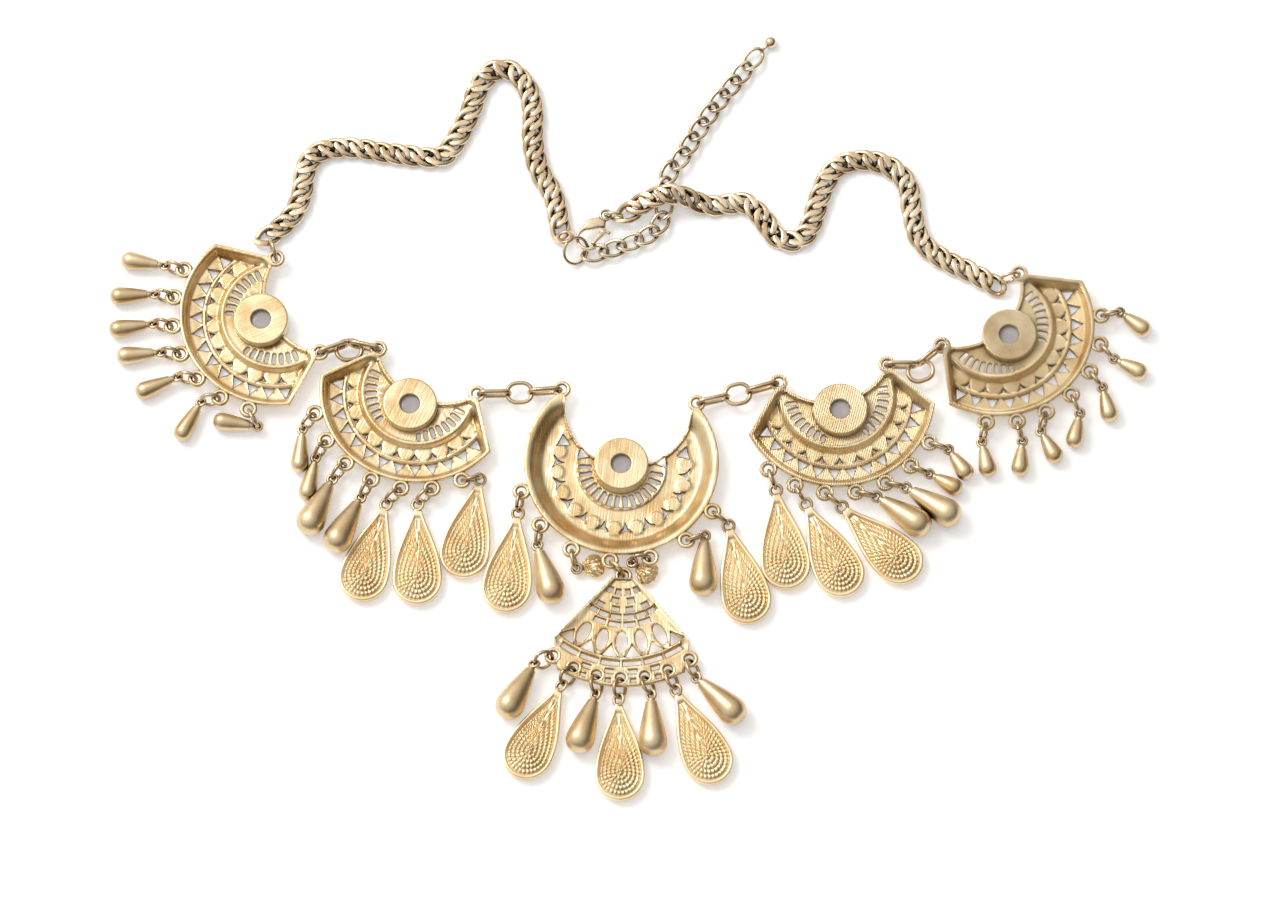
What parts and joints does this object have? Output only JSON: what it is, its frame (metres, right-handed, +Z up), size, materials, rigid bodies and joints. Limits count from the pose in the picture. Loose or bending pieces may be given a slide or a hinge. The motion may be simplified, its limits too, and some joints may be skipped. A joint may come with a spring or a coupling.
{
  "type": "bib necklace",
  "caption": "Antique-gold bib necklace lying face down: pierced crescent and fan plates with set stones, drops on jump rings, a pierced pendant, chains and a lobster clasp.",
  "frame": {"origin": "centre of the box round the necklace, on the surface that it lies on", "axes": "+Z up from the surface, -Y towards the pendant, +X along the bib's width"},
  "size_m": [0.2756, 0.2144, 0.008],
  "materials": {
    "antique_gold": "matte antique gold plating",
    "rose_gold": "satin rose gold plating",
    "grey_stone": "slightly glossy"
  },
  "bodies": {
    "necklace": {"crescent_plate": "antique_gold", "fan_inner_left": "antique_gold", "fan_inner_right": "antique_gold", "fan_outer_left": "antique_gold", "fan_outer_right": "antique_gold", "pendant_plate": "antique_gold", "stone_inner_left": "grey_stone", "stone_inner_right": "grey_stone", "stone_middle": "grey_stone", "stone_outer_left": "grey_stone", "stone_outer_right": "grey_stone", "drop_outer_left_1": "antique_gold", "drop_outer_left_2": "antique_gold", "drop_outer_left_3": "antique_gold", "drop_outer_left_4": "antique_gold", "drop_outer_left_5": "antique_gold", "drop_outer_left_6": "antique_gold", "drop_outer_left_7": "antique_gold", "drop_inner_left_1": "antique_gold", "drop_inner_left_2": "antique_gold", "drop_inner_left_3": "antique_gold", "drop_inner_left_4": "antique_gold", "drop_inner_left_5": "antique_gold", "drop_inner_left_6": "antique_gold", "drop_inner_left_7": "antique_gold", "drop_crescent_1": "antique_gold", "drop_crescent_2": "antique_gold", "drop_crescent_3": "antique_gold", "drop_crescent_5": "antique_gold", "drop_crescent_6": "antique_gold", "drop_crescent_7": "antique_gold", "drop_pendant_1": "antique_gold", "drop_pendant_2": "antique_gold", "drop_pendant_3": "antique_gold", "drop_pendant_4": "antique_gold", "drop_pendant_5": "antique_gold", "drop_pendant_6": "antique_gold", "drop_pendant_7": "antique_gold", "drop_inner_right_1": "antique_gold", "drop_inner_right_2": "antique_gold", "drop_inner_right_3": "antique_gold", "drop_inner_right_4": "antique_gold", "drop_inner_right_5": "antique_gold", "drop_inner_right_6": "antique_gold", "drop_inner_right_7": "antique_gold", "drop_outer_right_1": "antique_gold", "drop_outer_right_2": "antique_gold", "drop_outer_right_3": "antique_gold", "drop_outer_right_4": "antique_gold", "drop_outer_right_5": "antique_gold", "drop_outer_right_6": "antique_gold", "drop_outer_right_7": "antique_gold", "link_run_inner_left": "antique_gold", "link_run_inner_right": "antique_gold", "link_run_outer_left": "antique_gold", "link_run_outer_right": "antique_gold", "chain_left": "rose_gold", "chain_right": "rose_gold", "clasp_body": "rose_gold"},
    "lever": {"clasp_lever": "rose_gold"}
  },
  "joints": [
    {"name": "clasp_lever_pivot", "type": "hinge", "parent": "necklace", "child": "lever", "pos_m": [-0.00718, 0.05108, 0.00312], "axis": [0, 0, -1], "range_deg": [0, 18], "stiffness_Nm_per_rad": 0.01}
  ]
}
